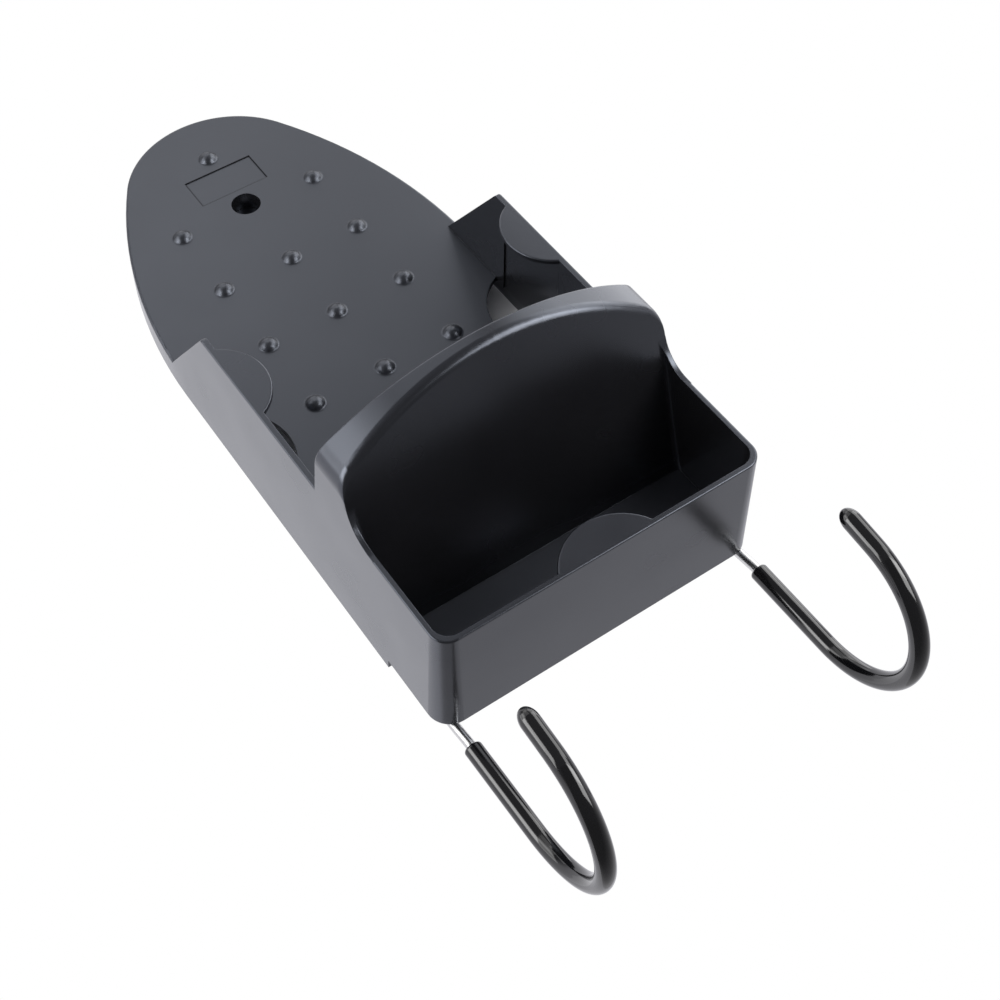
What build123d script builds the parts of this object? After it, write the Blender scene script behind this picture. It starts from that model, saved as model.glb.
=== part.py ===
"""Wall holder for an iron and an ironing board.

One moulded plastic body carries the iron: an oval back panel with raised bumps, a bay between two side
walls, an arched shelf for the iron's heel and a cord compartment under it. One bent steel wire, laid
between the body and the wall, ends in two vinyl-sleeved hooks for the ironing board.

Millimetres. X runs to the right, Z up. The wall is the plane Y = 0 and the holder stands out to -Y.
The origin is on the wall, on the axis of the upper screw. "Depth" is the distance from the wall, and
"drop" is the distance below the upper screw.
"""

from build123d import *
import os
from math import atan2, cos, degrees, radians, sin, tan

# Body outline, measured at the wall
BODY_WIDTH = 173.4
TIP_RISE = 75.4             # top of the oval above the upper screw
TIP_RADIUS = 56.4
STRAIGHT_DROP = 90.0        # below this the sides run straight
CORNER_RADIUS = 11.5
EDGE_RADIUS = 0.8           # front edges of walls, rim, shelf and tabs
OUTER_DRAFT = 2.2           # degrees, outer faces
INNER_DRAFT = 0.5           # degrees, inside of the bay and of the compartment

# Panel, skirt and ribs
PANEL_DEPTH = 13.5          # front face of the panel
PANEL_THICKNESS = 3.0
PANEL_EDGE_RADIUS = 1.5     # front edge of the oval
SKIRT_THICKNESS = 3.0
BACK_LIFT = 5.5             # the lower edges stand this far off the wall, over the wire
LIFT_HEIGHT = 43.4          # how far up from the lower face they do
RIB_THICKNESS = 2.0
RIB_WALL_GAP = 1.0
RIB_INNER_X = 27.0
RIB_OUTER_X = 55.0

# Bumps that keep the hot soleplate off the panel
BUMP_COLUMN_PITCH = 40.5
BUMP_ROW_PITCH = 45.9
BUMP_FIRST_DROP = 140.6     # lowest full row
BUMP_FULL_ROWS = 4
BUMP_BASE_RADIUS = 5.0
BUMP_HEIGHT = 3.2
BUMP_BASE_FILLET = 1.6

# Shallow rectangular recess above the upper screw
RECESS_WIDTH = 40.0
RECESS_HEIGHT = 20.5
RECESS_RISE = 22.1          # its centre above the upper screw
RECESS_DEPTH = 0.5

# Screw wells
SCREW_HOLE_RADIUS = 2.5
SEAT_THICKNESS = 3.0
UPPER_WELL_RADIUS = 8.0
LOWER_WELL_RADIUS = 6.0
BOSS_WALL = 2.5
LOWER_SCREW_X = 41.0
LOWER_SCREW_RISE = 21.0     # above the lower face

# Side walls of the iron bay
BAY_DEPTH = 69.0            # front edge of the side walls
BAY_WALL_THICKNESS = 3.0    # at that edge
BAY_WALL_RISE = 96.0        # their full height above the shelf
SLANT_RISE = 42.7           # height of the slanted end above that
SLANT_CORNER_RADIUS = 3.0
BAY_TAB_RISE = 64.9         # middle of the side tabs above the shelf
BAY_TAB_RADIUS = 25.5
BAY_TAB_REACH = 13.7
BAY_WINDOW_MARGIN = 6.0     # opening in the panel behind each tab, larger than the tab
TAB_THICKNESS = 2.2
TAB_RELIEF = 0.5            # wall face set back under each tab

# Arched shelf: a hollow wedge between the bay and the compartment
SHELF_DROP = 215.5          # shelf face at the panel
SHELF_DRAFT = 6.1           # degrees
WEDGE_HEIGHT = 56.7         # from the shelf face to the compartment face, at the panel
CEILING_LEAN = 18.4         # degrees
ARCH_DEPTH = 124.5          # crest of the arch
ARCH_RADIUS = 136.0
SHOULDER_RADIUS = 14.0
ROLL_RADIUS = 5.0           # rolled edge over the compartment, fading out down the sides
GUSSET_RADIUS = 18.0        # hollow curve from the shelf down to the rim
SHELL_THICKNESS = 2.5
CREST_THICKNESS = 12.0      # solid top of the arch over its hollow inside

# Cord compartment
COMPARTMENT_HEIGHT = 49.8   # from its upper face to the body's lower face, at the panel
RIM_DEPTH = 71.0
RIM_THICKNESS = 2.5
INSIDE_CORNER_RADIUS = 8.0  # lower corners
CEILING_CORNER_RADIUS = 2.5 # upper corners
RIM_TAB_RADIUS = 28.0
RIM_TAB_REACH = 14.8
RIM_WINDOW_MARGIN = 0.6     # opening in the floor behind the rim tab

# Bent wire with two hooks, and its sleeves
WIRE_DIAMETER = 4.8
WIRE_WALL_GAP = 0.2
WIRE_INBOARD = 7.4          # wire axis in from the body's outer face at the wall
CROSSBAR_RISE = 39.0        # above the body's lower face
CROSSBAR_BEND_RADIUS = 8.0
JOGGLE_RISE = 2.0           # here the shank steps off the wall, to make room for the sleeve
JOGGLE_LENGTH = 12.0
JOGGLE_BEND_RADIUS = 10.0
HOOK_HANG = 58.8            # from the body's lower face to where the shank turns into the hook
HOOK_BEND_RADIUS = 42.7
HOOK_TIP_LENGTH = 12.8
HOOK_TIP_FLARE = 7.0        # degrees, tip turned outwards
NOTCH_CLEARANCE = 0.15
SLEEVE_DIAMETER = 8.6
SLEEVE_WALL_GAP = 0.2
SLEEVE_CLEARANCE = 0.05     # between sleeve and wire
SLEEVE_START_GAP = 1.6      # below the joggle
SLEEVE_START_ROUND = 1.5
SLEEVE_NOSE_LENGTH = 6.5    # rounded end beyond the wire

# Values worked out from the driving dimensions
HALF_WIDTH = BODY_WIDTH / 2
CEILING_DROP = SHELF_DROP + WEDGE_HEIGHT
BODY_DROP = CEILING_DROP + COMPARTMENT_HEIGHT           # lower face of the body
SLANT_TOP_DROP = SHELF_DROP - BAY_WALL_RISE
SLANT_FOOT_DROP = SLANT_TOP_DROP - SLANT_RISE
BAY_TAB_DROP = SHELF_DROP - BAY_TAB_RISE
CROSSBAR_DROP = BODY_DROP - CROSSBAR_RISE
JOGGLE_START_DROP = BODY_DROP - JOGGLE_RISE
JOGGLE_END_DROP = JOGGLE_START_DROP + JOGGLE_LENGTH
SLEEVE_START_DROP = JOGGLE_END_DROP + SLEEVE_START_GAP
HOOK_BEND_DROP = BODY_DROP + HOOK_HANG
OUTER_SLOPE = tan(radians(OUTER_DRAFT))
INNER_SLOPE = tan(radians(INNER_DRAFT))
SHELF_SLOPE = tan(radians(SHELF_DRAFT))
CEILING_SLOPE = tan(radians(CEILING_LEAN))
SLANT_SLOPE = (SLANT_TOP_DROP - SLANT_FOOT_DROP) / (BAY_DEPTH - PANEL_DEPTH)
WIRE_DEPTH = WIRE_DIAMETER / 2 + WIRE_WALL_GAP          # axis of the crossbar
SLEEVE_DEPTH = SLEEVE_DIAMETER / 2 + SLEEVE_WALL_GAP    # axis of the sleeved shanks
WIRE_X = HALF_WIDTH - WIRE_INBOARD
BEYOND = 20.0               # how far cutting tools run past the body
PAST = 2.0                  # the same, for tools in the panel
TOOL_DEPTH = ARCH_DEPTH + BEYOND

# Sketch planes: seen from the front (X, Z), and from the side (depth, Z)
FRONT = Plane.XZ
SIDE = Plane(origin=(0, 0, 0), x_dir=(0, -1, 0), z_dir=(-1, 0, 0))


def outer_half(depth):
    """Half width of the body's outer side faces."""
    return HALF_WIDTH - depth * OUTER_SLOPE


def bay_half(depth):
    """Half width between the side walls of the iron bay."""
    at_edge = outer_half(BAY_DEPTH) - BAY_WALL_THICKNESS
    return at_edge - (BAY_DEPTH - depth) * INNER_SLOPE


def compartment_half(depth):
    """Half width inside the cord compartment."""
    at_rim = outer_half(RIM_DEPTH) - RIM_THICKNESS
    return at_rim - (RIM_DEPTH - depth) * INNER_SLOPE


def compartment_bottom(depth):
    """Z of the compartment's lower inside face."""
    at_rim = -BODY_DROP + RIM_DEPTH * OUTER_SLOPE + RIM_THICKNESS
    return at_rim + (RIM_DEPTH - depth) * INNER_SLOPE


def shelf_z(depth):
    """Z of the shelf face that the iron stands on."""
    return -SHELF_DROP - (depth - PANEL_DEPTH) * SHELF_SLOPE


def ceiling_z(depth):
    """Z of the leaning face over the cord compartment."""
    return -CEILING_DROP + (depth - PANEL_DEPTH) * CEILING_SLOPE


def extrude_front(sketch, start, end, taper=0.0):
    """Extrude a front-view sketch from one depth to another."""
    return extrude(FRONT.offset(start) * sketch, end - start, taper=taper)


def extrude_side(sketch):
    """Extrude a side-view sketch across the whole width, and past it."""
    return extrude(SIDE * sketch, HALF_WIDTH + BEYOND, both=True)


def front_loft(section, start, end):
    """Loft a front-view section, given as a function of depth, between two depths."""
    faces = [FRONT.offset(depth) * section(depth) for depth in (start, end)]
    return loft(Sketch() + faces, ruled=True)


def plan_outline(inset=0.0):
    """The oval outline with straight lower sides and rounded lower corners, drawn inset."""
    tip_centre = TIP_RISE - TIP_RADIUS
    rise = tip_centre + STRAIGHT_DROP
    side_radius = (HALF_WIDTH**2 + rise**2 - TIP_RADIUS**2) / (2 * (HALF_WIDTH - TIP_RADIUS))
    side_centre = (HALF_WIDTH - side_radius, -STRAIGHT_DROP)
    turn = degrees(atan2(rise, side_radius - HALF_WIDTH))
    corner_z = -BODY_DROP + CORNER_RADIUS
    corner_x = HALF_WIDTH - CORNER_RADIUS
    right = Curve() + [
        CenterArc((0, tip_centre), TIP_RADIUS - inset, turn, 90 - turn),
        CenterArc(side_centre, side_radius - inset, 0, turn),
        Line((HALF_WIDTH - inset, -STRAIGHT_DROP), (HALF_WIDTH - inset, corner_z)),
        CenterArc((corner_x, corner_z), CORNER_RADIUS - inset, -90, 90),
        Line((corner_x, -BODY_DROP + inset), (0, -BODY_DROP + inset)),
    ]
    return make_face(right + mirror(right, about=Plane.YZ))


def wedge_profile(inset=0.0):
    """Side view of the wedge under the arch, between the shelf face and the leaning face."""
    top_shift = inset / cos(radians(SHELF_DRAFT))
    low_shift = inset / cos(radians(CEILING_LEAN))
    corners = [
        (0, shelf_z(0) - top_shift),
        (ARCH_DEPTH, shelf_z(ARCH_DEPTH) - top_shift),
        (ARCH_DEPTH, ceiling_z(ARCH_DEPTH) + low_shift),
        (0, ceiling_z(0) + low_shift),
    ]
    return make_face(Polyline(*corners, close=True))


def arch_profile(side_inset=0.0, crest_inset=0.0):
    """Arch seen from above the holder: drafted sides, rounded shoulders, one round crest."""
    low_half = outer_half(0) - side_inset
    high_half = outer_half(TOOL_DEPTH) - side_inset
    corners = [(-low_half, 0), (low_half, 0), (high_half, TOOL_DEPTH), (-high_half, TOOL_DEPTH)]
    sides = make_face(Polyline(*corners, close=True))
    crest = Pos(0, ARCH_DEPTH - ARCH_RADIUS) * Circle(ARCH_RADIUS - crest_inset)
    arch = sides & crest
    shoulders = arch.vertices().sort_by(Axis.Y)[-2:]
    return fillet(shoulders, SHOULDER_RADIUS - side_inset)


def extrude_down(sketch):
    """Extrude a sketch drawn as seen from above, through the whole wedge."""
    top = Plane(origin=(0, 0, -SHELF_DROP + BEYOND), x_dir=(1, 0, 0), z_dir=(0, 0, -1))
    return extrude(top * sketch, CEILING_DROP - SHELF_DROP + 2 * BEYOND)


def wall_profile():
    """Side view of skirt and side walls, with the walls' slanted upper ends."""
    top = TIP_RISE + BEYOND
    bottom = -BODY_DROP - BEYOND
    skirt_front = PANEL_DEPTH - PANEL_EDGE_RADIUS
    corners = [
        (0, top),
        (skirt_front, top),
        (skirt_front, -SLANT_FOOT_DROP + PANEL_EDGE_RADIUS * SLANT_SLOPE),
        (BAY_DEPTH, -SLANT_TOP_DROP),
        (BAY_DEPTH, bottom),
        (0, bottom),
    ]
    profile = make_face(Polyline(*corners, close=True))
    slant_top = profile.vertices().sort_by_distance((BAY_DEPTH, -SLANT_TOP_DROP))[0]
    return fillet(slant_top, SLANT_CORNER_RADIUS)


def rim_profile():
    """Side view of the cord compartment, rooted in the wedge above it."""
    top = (shelf_z(RIM_DEPTH) + ceiling_z(RIM_DEPTH)) / 2
    bottom = -BODY_DROP - BEYOND
    return make_face(Polyline((0, top), (RIM_DEPTH, top), (RIM_DEPTH, bottom), (0, bottom), close=True))


def outline_block(profile):
    """Block of the whole outline, cut to a side view, with its outer front edges rounded."""
    block = extrude_front(plan_outline(), 0, TOOL_DEPTH, OUTER_DRAFT) & extrude_side(profile)
    front = block.faces().sort_by(Axis.Y)[0]
    return fillet(front.edges().sort_by(Axis.Z)[:-1], EDGE_RADIUS)


def gusset_profile():
    """Side view of the hollow curve from the leaning face down to the rim, rooted in both."""
    run = GUSSET_RADIUS * tan(radians(90 - CEILING_LEAN) / 2)
    top = RIM_DEPTH + run
    foot = (RIM_DEPTH, ceiling_z(RIM_DEPTH))
    low = foot[1] - run - RIM_THICKNESS
    corners = [
        foot,
        (RIM_DEPTH, low),
        (RIM_DEPTH - RIM_THICKNESS, low),
        (RIM_DEPTH - RIM_THICKNESS, foot[1] + RIM_THICKNESS),
        (top, ceiling_z(top) + RIM_THICKNESS),
        (top, ceiling_z(top)),
    ]
    profile = make_face(Polyline(*corners, close=True))
    return fillet(profile.vertices().sort_by_distance(foot)[0], GUSSET_RADIUS)


def bump_places():
    """Front-view places of the bumps: full rows, one left out for the screw, and one at the top."""
    for row in range(BUMP_FULL_ROWS):
        z = -BUMP_FIRST_DROP + row * BUMP_ROW_PITCH
        for column in (-1, 0, 1):
            if row == BUMP_FULL_ROWS - 1 and column == 0:
                continue
            yield column * BUMP_COLUMN_PITCH, z
    yield 0, -BUMP_FIRST_DROP + BUMP_FULL_ROWS * BUMP_ROW_PITCH


def make_bump():
    """A low dome with a soft foot, turned about its own axis, sunk a little into the panel."""
    sink = PANEL_THICKNESS / 2
    dome_radius = (BUMP_BASE_RADIUS**2 + BUMP_HEIGHT**2) / (2 * BUMP_HEIGHT)
    foot = BUMP_BASE_RADIUS + 2 * BUMP_BASE_FILLET
    half_disc = Pos(0, BUMP_HEIGHT - dome_radius) * Circle(dome_radius)
    cap = half_disc & Rectangle(foot, BUMP_HEIGHT, align=(Align.MIN, Align.MIN))
    plate = Rectangle(foot, sink, align=(Align.MIN, Align.MAX))
    section = cap + plate
    crease = section.vertices().sort_by_distance((BUMP_BASE_RADIUS, 0))[0]
    section = fillet(crease, BUMP_BASE_FILLET)
    return revolve(Plane.XZ * section, Axis.Z)


def make_bumps():
    turned = FRONT.offset(PANEL_DEPTH) * make_bump()
    return [Pos(x, 0, z) * turned for x, z in bump_places()]


def bay_section(depth):
    """Front view of the iron bay at one depth, open at the top."""
    height = TIP_RISE + BEYOND - shelf_z(depth)
    bay = Rectangle(2 * bay_half(depth), height, align=(Align.CENTER, Align.MIN))
    return Pos(0, shelf_z(depth)) * bay


def compartment_section(depth):
    """Front view of the cord compartment at one depth."""
    bottom = compartment_bottom(depth)
    height = ceiling_z(depth) - bottom
    inside = Rectangle(2 * compartment_half(depth), height, align=(Align.CENTER, Align.MIN))
    inside = fillet(inside.vertices().sort_by(Axis.Y)[:2], INSIDE_CORNER_RADIUS)
    inside = fillet(inside.vertices().sort_by(Axis.Y)[-2:], CEILING_CORNER_RADIUS)
    return Pos(0, bottom) * inside


def tab_disc(reach, radius, margin=0.0):
    """Disc whose edge stands `reach` in from a wall face at x = 0, on the +X side."""
    return Pos(reach - radius, 0) * Circle(radius + margin)


def bay_tab_sketches(margin, wall_x):
    """The two side tabs, or openings that are larger by a margin, each cut off at its wall."""
    between = Pos(0, -BAY_TAB_DROP) * Rectangle(2 * wall_x, 2 * (BAY_TAB_RADIUS + margin))
    disc = tab_disc(BAY_TAB_REACH, BAY_TAB_RADIUS, margin)
    left = Pos(-bay_half(BAY_DEPTH), -BAY_TAB_DROP) * disc
    return [left & between, mirror(left, about=Plane.YZ) & between]


def rim_tab_sketch(margin, wall_z):
    """The tab on the compartment's lower rim, or the floor opening behind it."""
    disc = Rot(0, 0, 90) * tab_disc(RIM_TAB_REACH, RIM_TAB_RADIUS, margin)
    across = 2 * (RIM_TAB_RADIUS + margin)
    above = Pos(0, wall_z) * Rectangle(across, across, align=(Align.CENTER, Align.MIN))
    return (Pos(0, compartment_bottom(RIM_DEPTH)) * disc) & above


def make_tab(sketch, front):
    """Thin half-round tab with its curved front edge rounded."""
    tab = extrude_front(sketch, front - TAB_THICKNESS, front)
    curved = tab.faces().sort_by(Axis.Y)[0].edges().filter_by(GeomType.CIRCLE)
    return fillet(curved, EDGE_RADIUS)


def make_tabs():
    """Tabs flush with the edges that carry them."""
    bay_root = bay_half(BAY_DEPTH) + BAY_WALL_THICKNESS / 2
    rim_root = compartment_bottom(RIM_DEPTH) - RIM_THICKNESS / 2
    tabs = [make_tab(sketch, BAY_DEPTH) for sketch in bay_tab_sketches(0, bay_root)]
    tabs.append(make_tab(rim_tab_sketch(0, rim_root), RIM_DEPTH))
    return tabs


def make_windows():
    """Openings behind the tabs, through the panel, with the wall face set back under each side tab."""
    behind = PANEL_DEPTH - PANEL_THICKNESS - PAST
    ahead = PANEL_DEPTH + PAST
    windows = [
        extrude_front(s, behind, ahead) for s in bay_tab_sketches(BAY_WINDOW_MARGIN, bay_half(PANEL_DEPTH))
    ]
    floor_edge = compartment_bottom(PANEL_DEPTH)
    windows.append(extrude_front(rim_tab_sketch(RIM_WINDOW_MARGIN, floor_edge), behind, ahead))
    reliefs = bay_tab_sketches(0, bay_half(BAY_DEPTH) + TAB_RELIEF)
    windows += [extrude_front(s, PANEL_DEPTH - PANEL_THICKNESS, BAY_DEPTH - TAB_THICKNESS) for s in reliefs]
    return windows


def screw_places():
    """Front-view place and well radius of each screw."""
    yield 0, 0, UPPER_WELL_RADIUS
    for side in (-1, 1):
        yield side * LOWER_SCREW_X, -BODY_DROP + LOWER_SCREW_RISE, LOWER_WELL_RADIUS


def make_ribs():
    """Long ribs from end to end of the hollow back, and cross ribs level with the bump rows."""
    height = TIP_RISE + BODY_DROP
    long_rib = Rectangle(RIB_THICKNESS, height, align=(Align.CENTER, Align.MAX))
    ribs = Part() + [
        extrude_front(Pos(x, TIP_RISE) * long_rib, RIB_WALL_GAP, TOOL_DEPTH)
        for x in (-RIB_OUTER_X, -RIB_INNER_X, RIB_INNER_X, RIB_OUTER_X)
    ]
    cross_rib = Rectangle(2 * RIB_OUTER_X, RIB_THICKNESS)
    for row in range(-1, BUMP_FULL_ROWS + 1):
        z = -BUMP_FIRST_DROP + row * BUMP_ROW_PITCH
        ribs += extrude_front(Pos(0, z) * cross_rib, RIB_WALL_GAP, PANEL_DEPTH)
    return ribs


def make_bosses():
    """Posts round the screw wells, from the panel back to the wall."""
    front = PANEL_DEPTH - PANEL_THICKNESS / 2
    return [
        extrude_front(Pos(x, z) * Circle(well + BOSS_WALL), 0, front) for x, z, well in screw_places()
    ]


def make_screw_cuts():
    """Wells open to the front, with a plain screw hole through each seat."""
    cuts = []
    for x, z, well in screw_places():
        cuts.append(extrude_front(Pos(x, z) * Circle(well), SEAT_THICKNESS, PANEL_DEPTH + PAST))
        cuts.append(extrude_front(Pos(x, z) * Circle(SCREW_HOLE_RADIUS), -PAST, PANEL_DEPTH))
    return cuts


def make_wire_notches():
    """Round-bottomed notches across the long ribs that hold the wire's crossbar."""
    radius = WIRE_DIAMETER / 2 + NOTCH_CLEARANCE
    seat = Pos(WIRE_DEPTH, -CROSSBAR_DROP) * Circle(radius)
    throat = Pos(0, -CROSSBAR_DROP) * Rectangle(2 * WIRE_DEPTH, 2 * radius)
    return extrude(SIDE * (seat + throat), RIB_OUTER_X + RIB_THICKNESS, both=True)


def make_back_hollow():
    """The hollow behind panel and shelf."""
    hollow = extrude_front(plan_outline(SKIRT_THICKNESS), 0, PANEL_DEPTH - PANEL_THICKNESS, OUTER_DRAFT)
    wedge = extrude_side(wedge_profile(SHELL_THICKNESS))
    wedge &= extrude_down(arch_profile(SHELL_THICKNESS, CREST_THICKNESS))
    return hollow + wedge


def make_lift():
    """Cutter that takes the lower edges of the skirt off the wall."""
    strip = Rectangle(BACK_LIFT, LIFT_HEIGHT + BEYOND, align=(Align.MIN, Align.MIN))
    return extrude_side(Pos(0, -BODY_DROP - BEYOND) * strip)


def rolled_arch(ceiling):
    """The leaning face carried over the roll and on to the back, always parallel to itself.

    Every section from front to back then has the same round edge, which fades out down the sides.
    """
    lean = radians(CEILING_LEAN)
    up = Vector(0, -cos(lean), sin(lean))
    run = ROLL_RADIUS * tan(radians(90 - CEILING_LEAN) / 2)
    crest = Vector(0, -ARCH_DEPTH, ceiling_z(ARCH_DEPTH))
    start = crest - up * run
    end = crest + Vector(0, 0, run)
    roll = TangentArc(start, end, tangent=up)
    back = Line(end, end + Vector(0, 0, CEILING_DROP - SHELF_DROP + BEYOND))
    return sweep(Pos(start - crest) * ceiling, path=Wire([roll, back]), normal=ceiling.normal_at())


def make_wedge():
    """Arched wedge of the shelf, its edge over the compartment rolled, with a gusset to the rim."""
    arch = extrude_down(arch_profile())
    wedge = extrude_side(wedge_profile()) & arch
    wedge &= rolled_arch(wedge.faces().sort_by(Axis.Z)[0])
    shelf = wedge.faces().sort_by(Axis.Z)[-1]
    wedge = fillet(shelf.edges().filter_by(lambda e: e.center().Y < -PANEL_DEPTH), EDGE_RADIUS)
    return wedge + (extrude_side(gusset_profile()) & arch)


def make_panel():
    """Plate of the whole outline with its front edge rounded, up to the panel's front face."""
    plate = extrude_front(plan_outline(), 0, PANEL_DEPTH, OUTER_DRAFT)
    return fillet(plate.faces().sort_by(Axis.Y)[0].edges(), PANEL_EDGE_RADIUS)


def make_body():
    body = outline_block(wall_profile()) + outline_block(rim_profile())
    body += make_panel()
    body += make_wedge()
    body -= front_loft(bay_section, PANEL_DEPTH, TOOL_DEPTH)
    body -= front_loft(compartment_section, PANEL_DEPTH, TOOL_DEPTH)
    hollow = make_back_hollow()
    body -= hollow
    body -= make_lift()
    body += make_ribs() & hollow
    body -= make_wire_notches()
    body += make_bosses()
    body -= make_windows()
    body += make_tabs()
    body += make_bumps()
    body -= make_screw_cuts()
    recess = Pos(0, RECESS_RISE) * Rectangle(RECESS_WIDTH, RECESS_HEIGHT)
    body -= extrude_front(recess, PANEL_DEPTH - RECESS_DEPTH, PANEL_DEPTH + PAST)
    return body


def hook_path(*shank):
    """Centre line of the right hook: straight or stepped shank, round bend, tip.

    The shank's points are given in the hook's own plane: depth and Z.
    """
    start = (SLEEVE_DEPTH, -HOOK_BEND_DROP)
    if len(shank) > 1:
        line = FilletPolyline(*shank, start, radius=JOGGLE_BEND_RADIUS)
    else:
        line = Line(*shank, start)
    turn = CenterArc((start[0] + HOOK_BEND_RADIUS, start[1]), HOOK_BEND_RADIUS, 180, 180 - HOOK_TIP_FLARE)
    tip = PolarLine(turn @ 1, HOOK_TIP_LENGTH, 90 - HOOK_TIP_FLARE)
    return Pos(WIRE_X, 0, 0) * (SIDE * (Curve() + [line, turn, tip]))


def round_sweep(path, diameter):
    """Round bar along a path of tangent lines and arcs."""
    line = Wire(path.edges())
    section = Plane(origin=line @ 0, z_dir=line % 0) * Circle(diameter / 2)
    return sweep(section, path=line)


def make_wire():
    """One bent wire: a crossbar behind the compartment, two shanks, two hooks."""
    corner = WIRE_X - CROSSBAR_BEND_RADIUS
    corner_z = -CROSSBAR_DROP - CROSSBAR_BEND_RADIUS
    crossbar = Line((0, -CROSSBAR_DROP), (corner, -CROSSBAR_DROP))
    bend = CenterArc((corner, corner_z), CROSSBAR_BEND_RADIUS, 0, 90)
    half_bar = FRONT.offset(WIRE_DEPTH) * (Curve() + [crossbar, bend])
    joggle = [(WIRE_DEPTH, -JOGGLE_START_DROP), (SLEEVE_DEPTH, -JOGGLE_END_DROP)]
    hook = hook_path((WIRE_DEPTH, corner_z), *joggle)
    right = round_sweep(Curve() + [*half_bar.edges(), *hook.edges()], WIRE_DIAMETER)
    return right + mirror(right, about=Plane.YZ)


def make_nose(path):
    """Rounded end of a sleeve, turned about the end of its centre line."""
    radius = SLEEVE_DIAMETER / 2
    quarter = Ellipse(radius, SLEEVE_NOSE_LENGTH) & Rectangle(
        radius, SLEEVE_NOSE_LENGTH, align=(Align.MIN, Align.MIN)
    )
    nose = revolve(Plane.XZ * quarter, Axis.Z)
    return Plane(origin=path @ 1, z_dir=path % 1) * nose


def make_sleeve(path):
    """A vinyl tube with a rounded mouth and a closed round end, along one hook's centre line."""
    line = Wire(path.edges())
    tube = round_sweep(path, SLEEVE_DIAMETER)
    mouth = tube.faces().sort_by_distance(line @ 0)[0]
    tube = fillet(mouth.edges(), SLEEVE_START_ROUND)
    tube += make_nose(line)
    return tube - round_sweep(path, WIRE_DIAMETER + 2 * SLEEVE_CLEARANCE)


def main():
    sleeved = hook_path((SLEEVE_DEPTH, -SLEEVE_START_DROP))
    nodes = {
        "body": make_body(),
        "hook_wire": make_wire(),
        "hook_sleeve_right": make_sleeve(sleeved),
        "hook_sleeve_left": make_sleeve(mirror(sleeved, about=Plane.YZ)),
    }
    os.makedirs("parts", exist_ok=True)
    for name, shape in nodes.items():
        export_step(shape, f"parts/{name}.step")


main()
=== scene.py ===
"""Looks of the wall holder for an iron and an ironing board.

A charcoal moulded body, one bright plated wire and two black vinyl sleeves, in metres in the row frame:
X to the right, Z up, the wall at Y = 0 and the holder standing out to -Y.
"""

import math

import bmesh
import bpy
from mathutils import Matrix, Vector

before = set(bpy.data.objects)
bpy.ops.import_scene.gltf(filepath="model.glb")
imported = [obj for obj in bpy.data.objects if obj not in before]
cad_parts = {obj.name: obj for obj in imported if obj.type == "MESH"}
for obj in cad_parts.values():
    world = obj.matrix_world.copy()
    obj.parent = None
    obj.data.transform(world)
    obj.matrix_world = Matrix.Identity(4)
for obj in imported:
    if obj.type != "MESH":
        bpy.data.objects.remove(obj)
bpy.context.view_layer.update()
scene = bpy.context.scene
MM = 0.001

# Camera of the photograph
CAMERA_PLACE = (-0.24549, -0.61174, -0.58451)
CAMERA_TURN = (125.8982, 33.8589, 1.1687)   # degrees about X, Y, Z
CAMERA_LENS = 56.380
CAMERA_SHIFT = (0.048, 0.002)
SENSOR_WIDTH = 36.0
CLIP_START = 0.01
CLIP_END = 50.0

# World: the level of the soft light, and in reflections that of the room in front of the holder
SOFT_LEVEL = 0.35
ROOM_LEVEL = 0.20
ROOM_EDGE = (-0.30, 0.05)                   # Y of the directions between which the room turns white
COOL_WHITE = (0.95, 0.945, 1.0)

# Floor, well under the holder and the camera, and its painted glow in reflections, dim near the holder
# and bright far off
FLOOR_HALF = 4.0
FLOOR_HEIGHT = -1.4
FLOOR_TONES = ((0.86, 0.86, 0.86), (0.90, 0.90, 0.90))
FLOOR_LEVEL = (0.13, 0.70)
FLOOR_REACH = 2.4
FLOOR_GLOW = (0.97, 0.96, 1.0)

# Table pieces behind the windows of the side tabs
TABLE_INNER = 0.0565
TABLE_OUTER = 0.0845
TABLE_BACK = 0.0008
TABLE_LOW = -0.192
TABLE_HIGH = -0.108
TABLE_TONES = ((0.78, 0.78, 0.78), (0.82, 0.82, 0.82))

# Softboxes: name, direction from the point that they aim at, distance, size, brightness of the surface
LAMP_AIM = (0.0, -0.05, -0.17)
SOFTBOXES = [
    ("left_softbox", (-0.80, -0.40, 0.38), 1.15, 0.95, 1.6),
    ("left_high_softbox", (-0.55, -0.62, 0.55), 1.15, 0.60, 1.1),
    ("left_low_softbox", (-0.88, -0.45, 0.05), 1.15, 0.60, 4.0),
    ("right_softbox", (0.80, -0.58, 0.10), 1.15, 0.70, 2.7),
    ("right_high_softbox", (0.86, -0.12, 0.48), 1.15, 0.90, 1.45),
    ("right_top_softbox", (0.62, -0.55, 0.55), 1.15, 0.45, 1.4),
    ("right_low_softbox", (0.64, -0.64, -0.42), 1.15, 0.55, 2.8),
    ("front_softbox", (0.52, -0.58, -0.62), 1.15, 0.65, 4.2),
    ("front_top_softbox", (0.0, -0.78, 0.63), 1.20, 0.80, 0.68),
    ("top_softbox", (0.15, -0.40, 0.88), 1.20, 0.95, 0.75),
    ("back_softbox", (-0.33, 0.757, 0.554), 1.15, 0.80, 0.25),
]

# Panel: the depths and slopes between which its skin turns from satin to matt, and how much rougher it is
MATT_DEPTH = (-0.0215, -0.0175)
MATT_SLOPE = (-0.25, -0.45)
MATT_EXTRA = 0.10

# Bare recess of the panel, above the screw, and the line of painted shade along its edges, where its
# reflections are dimmed
RECESS_MIDDLE = (0.0, -0.0133, 0.0221)
RECESS_HALF = (0.0200, 0.0006, 0.01025)
RECESS_SHADE_REACH = (0.2 * MM, 0.5 * MM)
RECESS_SHADE_LEVEL = 0.35

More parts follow.
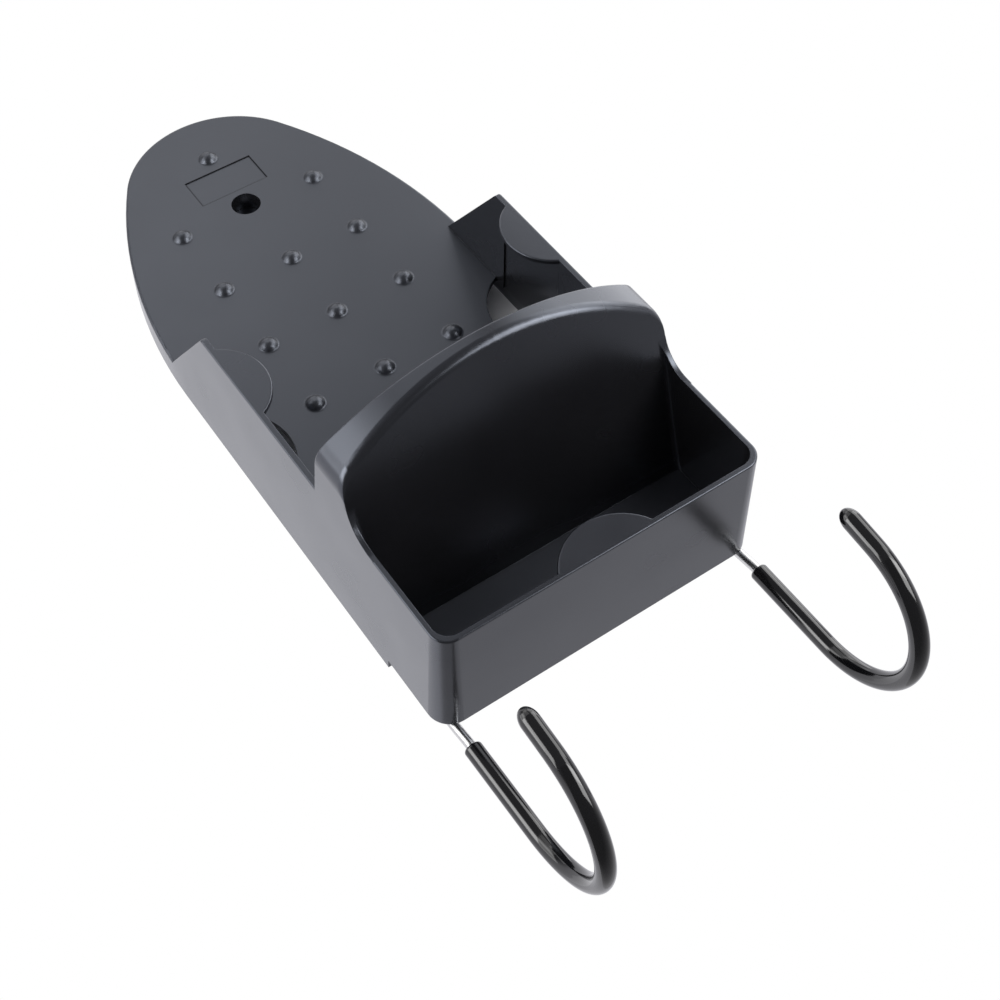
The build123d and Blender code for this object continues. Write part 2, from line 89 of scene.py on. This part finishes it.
# Tones of the three finishes, dark and pale
CHARCOAL = ((0.0060, 0.0060, 0.0068), (0.0085, 0.0085, 0.0096))
PLATING = ((0.54, 0.54, 0.54), (0.62, 0.62, 0.61))
SLEEVE_BLACK = ((0.003, 0.003, 0.0035), (0.005, 0.005, 0.0058))
COOL_SHEEN = (0.80, 0.86, 1.0)
DRIFT = (0.3, 0.7)                          # part of a noise's range over which a tone or polish drifts


def add_camera():
    data = bpy.data.cameras.new("photo_camera")
    data.sensor_fit = "HORIZONTAL"
    data.sensor_width = SENSOR_WIDTH
    data.lens = CAMERA_LENS
    data.shift_x, data.shift_y = CAMERA_SHIFT
    data.clip_start = CLIP_START
    data.clip_end = CLIP_END
    camera = bpy.data.objects.new("photo_camera", data)
    camera.location = CAMERA_PLACE
    camera.rotation_euler = [math.radians(a) for a in CAMERA_TURN]
    scene.collection.objects.link(camera)
    scene.camera = camera


# Node helpers

class Nodes:
    """A node tree, built a node at a time."""

    def __init__(self, tree):
        self.tree = tree
        self.tree.nodes.clear()

    def feed(self, socket, value):
        if isinstance(value, bpy.types.NodeSocket):
            self.tree.links.new(value, socket)
        else:
            socket.default_value = value

    def add(self, kind, inputs=None, **settings):
        node = self.tree.nodes.new(kind)
        for key, value in settings.items():
            setattr(node, key, value)
        for key, value in (inputs or {}).items():
            self.feed(node.inputs[key], value)
        return node

    def maths(self, operation, *values):
        return self.add("ShaderNodeMath", dict(enumerate(values)), operation=operation).outputs[0]

    def vector(self, operation, *values):
        return self.add("ShaderNodeVectorMath", dict(enumerate(values)), operation=operation).outputs

    def split(self, vector):
        return self.add("ShaderNodeSeparateXYZ", {0: vector}).outputs

    def span(self, value, low, high, start=0.0, end=1.0):
        inputs = {"Value": value, "From Min": start, "From Max": end, "To Min": low, "To Max": high}
        return self.add("ShaderNodeMapRange", inputs).outputs["Result"]

    def mirrored(self):
        """1 for what is seen in a reflection or through a clear body, else 0."""
        path = self.add("ShaderNodeLightPath").outputs
        return self.maths("MAXIMUM", path["Is Glossy Ray"], path["Is Transmission Ray"])


class Finish(Nodes):
    """A material round one principled shader, patterned in the piece's own coordinates."""

    def __init__(self, name):
        self.material = bpy.data.materials.new(name)
        self.material.use_nodes = True
        super().__init__(self.material.node_tree)
        self.shader = self.add("ShaderNodeBsdfPrincipled")
        self.out = self.add("ShaderNodeOutputMaterial", {"Surface": self.shader.outputs["BSDF"]})
        self.place = self.add("ShaderNodeTexCoord").outputs["Object"]

    def set(self, **values):
        for key, value in values.items():
            self.feed(self.shader.inputs[key.replace("_", " ")], value)

    def noise(self, scale, detail):
        inputs = {"Vector": self.place, "Scale": scale, "Detail": detail}
        return self.add("ShaderNodeTexNoise", inputs).outputs["Fac"]

    def mottled(self, tones, scale, detail=3.0):
        """Colour that drifts between two tones."""
        node = self.add("ShaderNodeValToRGB", {"Fac": self.noise(scale, detail)})
        for element, position, tone in zip(node.color_ramp.elements, DRIFT, tones):
            element.position = position
            element.color = (*tone, 1.0)
        return node.outputs["Color"]

    def uneven(self, low, high, scale):
        """Polish that drifts between two levels."""
        return self.span(self.noise(scale, 2.0), low, high, *DRIFT)

    def waves(self, scale, strength, distance, **over):
        """Normal with soft waves, over another normal where one is given."""
        inputs = {"Height": self.noise(scale, 1.0), "Strength": strength, "Distance": distance}
        return self.add("ShaderNodeBump", {**inputs, **over}).outputs["Normal"]

    def soft_edges(self, radius):
        return self.add("ShaderNodeBevel", {"Radius": radius}, samples=6).outputs["Normal"]

    def painted_crevice_shade(self, distance):
        """Low in narrow corners, 1 on open faces; used as painted shade on the plastic's reflections."""
        inputs = {"Distance": distance}
        return self.add("ShaderNodeAmbientOcclusion", inputs, samples=6, only_local=True).outputs["AO"]

    def give_way(self, factor, other):
        """Give way to another shader where the factor is 1."""
        sides = {0: factor, 1: self.shader.outputs["BSDF"], 2: other.outputs[0]}
        mixed = self.add("ShaderNodeMixShader", sides).outputs[0]
        self.feed(self.out.inputs["Surface"], mixed)


# Finishes

def recess_painted_shade(m):
    """Painted shade line along the edges of the panel's recess: a low factor there, 1 elsewhere."""
    near = m.vector("SUBTRACT", m.place, RECESS_MIDDLE)[0]
    near = m.vector("ABSOLUTE", near)[0]
    past = m.split(m.vector("SUBTRACT", near, RECESS_HALF)[0])
    edge = m.maths("ABSOLUTE", m.maths("MAXIMUM", past["X"], past["Z"]))
    edge = m.maths("MAXIMUM", edge, past["Y"])
    return m.span(edge, RECESS_SHADE_LEVEL, 1.0, *RECESS_SHADE_REACH)


def matt_face(m):
    """Extra roughness of the panel's matt face, bumps included: 0 elsewhere."""
    depth = m.split(m.place)["Y"]
    slope = m.split(m.add("ShaderNodeNewGeometry").outputs["Normal"])["Y"]
    rougher = m.span(depth, 0.0, MATT_EXTRA, *MATT_DEPTH)
    return m.maths("MULTIPLY", rougher, m.span(slope, 0.0, 1.0, *MATT_SLOPE))


def moulded_plastic():
    """Charcoal plastic with a satin skin: soft colour drift, faint flow waves, softened edges, and
    painted shade that dims its reflections in narrow corners and along the recess edges.
    """
    m = Finish("moulded_plastic")
    flow = m.waves(22.0, strength=0.35, distance=0.6 * MM, Normal=m.soft_edges(0.5 * MM))
    skin = m.waves(120.0, strength=0.05, distance=0.05 * MM, Normal=flow)
    rough = m.maths("ADD", m.uneven(0.24, 0.28, scale=30.0), matt_face(m))
    # Painted shade: the plastic's reflections are dimmed in narrow corners and along the recess edges
    shine_with_painted_shade = m.span(m.painted_crevice_shade(1.2 * MM), 0.05, 0.5, start=0.4, end=0.95)
    shine_with_painted_shade = m.maths("MULTIPLY", shine_with_painted_shade, recess_painted_shade(m))
    m.set(Base_Color=m.mottled(CHARCOAL, scale=14.0, detail=2.0), Roughness=rough, Normal=skin)
    m.set(IOR=1.85, Specular_IOR_Level=shine_with_painted_shade, Specular_Tint=(*COOL_SHEEN, 1.0))
    return m.material


def plated_wire():
    """Bright plated steel, slightly uneven in polish."""
    m = Finish("plated_wire")
    m.set(Base_Color=m.mottled(PLATING, scale=60.0), Metallic=1.0)
    m.set(Roughness=m.uneven(0.22, 0.30, scale=200.0))
    return m.material


def vinyl():
    """Black dipped vinyl: glossy, slightly uneven."""
    m = Finish("vinyl_sleeve")
    m.set(Base_Color=m.mottled(SLEEVE_BLACK, scale=30.0), IOR=1.65)
    m.set(Roughness=m.uneven(0.08, 0.12, scale=90.0))
    m.set(Normal=m.waves(45.0, strength=0.08, distance=0.3 * MM))
    return m.material


def dress(material, *nodes):
    for node in nodes:
        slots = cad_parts[node].data.materials
        slots.clear()
        slots.append(material)


# Stage

def add_sheet(name, corners, material):
    """Flat stage piece through four corners."""
    shape = bmesh.new()
    shape.faces.new([shape.verts.new(corner) for corner in corners])
    mesh = bpy.data.meshes.new(name)
    shape.to_mesh(mesh)
    shape.free()
    mesh.materials.append(material)
    sheet = bpy.data.objects.new(name, mesh)
    scene.collection.objects.link(sheet)


def add_floor():
    """Pale floor; in reflections it shows a painted glow, dim near the holder and bright to the back
    right.
    """
    m = Finish("pale_floor")
    m.set(Base_Color=m.mottled(FLOOR_TONES, scale=3.0), Roughness=0.8)
    away = m.vector("DOT_PRODUCT", m.place, (1.0, 1.0, 0.0))["Value"]
    level = m.span(away, *FLOOR_LEVEL, 0.0, FLOOR_REACH)
    glow = m.add("ShaderNodeEmission", {"Color": (*FLOOR_GLOW, 1.0), "Strength": level})
    m.give_way(m.mirrored(), glow)
    turns = ((-1, -1), (1, -1), (1, 1), (-1, 1))
    corners = [(x * FLOOR_HALF, y * FLOOR_HALF, FLOOR_HEIGHT) for x, y in turns]
    add_sheet("floor", corners, m.material)


def add_table():
    """Two pieces of the pale table, which show through the windows; clear from behind."""
    m = Finish("pale_table")
    m.set(Base_Color=m.mottled(TABLE_TONES, scale=20.0), Roughness=0.8)
    behind = m.add("ShaderNodeNewGeometry").outputs["Backfacing"]
    m.give_way(behind, m.add("ShaderNodeBsdfTransparent"))
    sides = (("table_left", -TABLE_OUTER, -TABLE_INNER), ("table_right", TABLE_INNER, TABLE_OUTER))
    for name, left, right in sides:
        foot = [(left, TABLE_BACK, TABLE_LOW), (right, TABLE_BACK, TABLE_LOW)]
        head = [(right, TABLE_BACK, TABLE_HIGH), (left, TABLE_BACK, TABLE_HIGH)]
        add_sheet(name, foot + head, m.material)


def add_world():
    """White to the camera. In reflections, white behind the holder and a dim room in front of it."""
    scene.world = bpy.data.worlds.new("studio")
    scene.world.use_nodes = True
    sky = Nodes(scene.world.node_tree)
    camera = sky.add("ShaderNodeLightPath").outputs["Is Camera Ray"]
    to_back = sky.split(sky.add("ShaderNodeTexCoord").outputs["Generated"])["Y"]
    room = sky.span(to_back, ROOM_LEVEL, 1.0, *ROOM_EDGE)
    soft = sky.span(sky.mirrored(), SOFT_LEVEL, room)
    tint = sky.add("ShaderNodeValToRGB", {"Fac": camera})
    tint.color_ramp.elements[0].color = (*COOL_WHITE, 1.0)
    light = {"Color": tint.outputs["Color"], "Strength": sky.span(camera, soft, 1.0)}
    back = sky.add("ShaderNodeBackground", light)
    sky.add("ShaderNodeOutputWorld", {"Surface": back.outputs["Background"]})


def add_softbox(name, direction, distance, size, brightness):
    """Square softbox seen from the holder in one direction, of one surface brightness."""
    data = bpy.data.lights.new(name, "AREA")
    data.shape = "SQUARE"
    data.size = size
    data.energy = brightness * math.pi * size**2
    lamp = bpy.data.objects.new(name, data)
    away = Vector(direction).normalized()
    lamp.location = Vector(LAMP_AIM) + away * distance
    lamp.rotation_euler = (-away).to_track_quat("-Z", "Y").to_euler()
    lamp.visible_camera = False
    scene.collection.objects.link(lamp)


add_camera()
add_floor()
add_table()
add_world()
for softbox in SOFTBOXES:
    add_softbox(*softbox)

dress(moulded_plastic(), "body")
dress(plated_wire(), "hook_wire")
dress(vinyl(), "hook_sleeve_left", "hook_sleeve_right")

scene.view_settings.view_transform = "Standard"
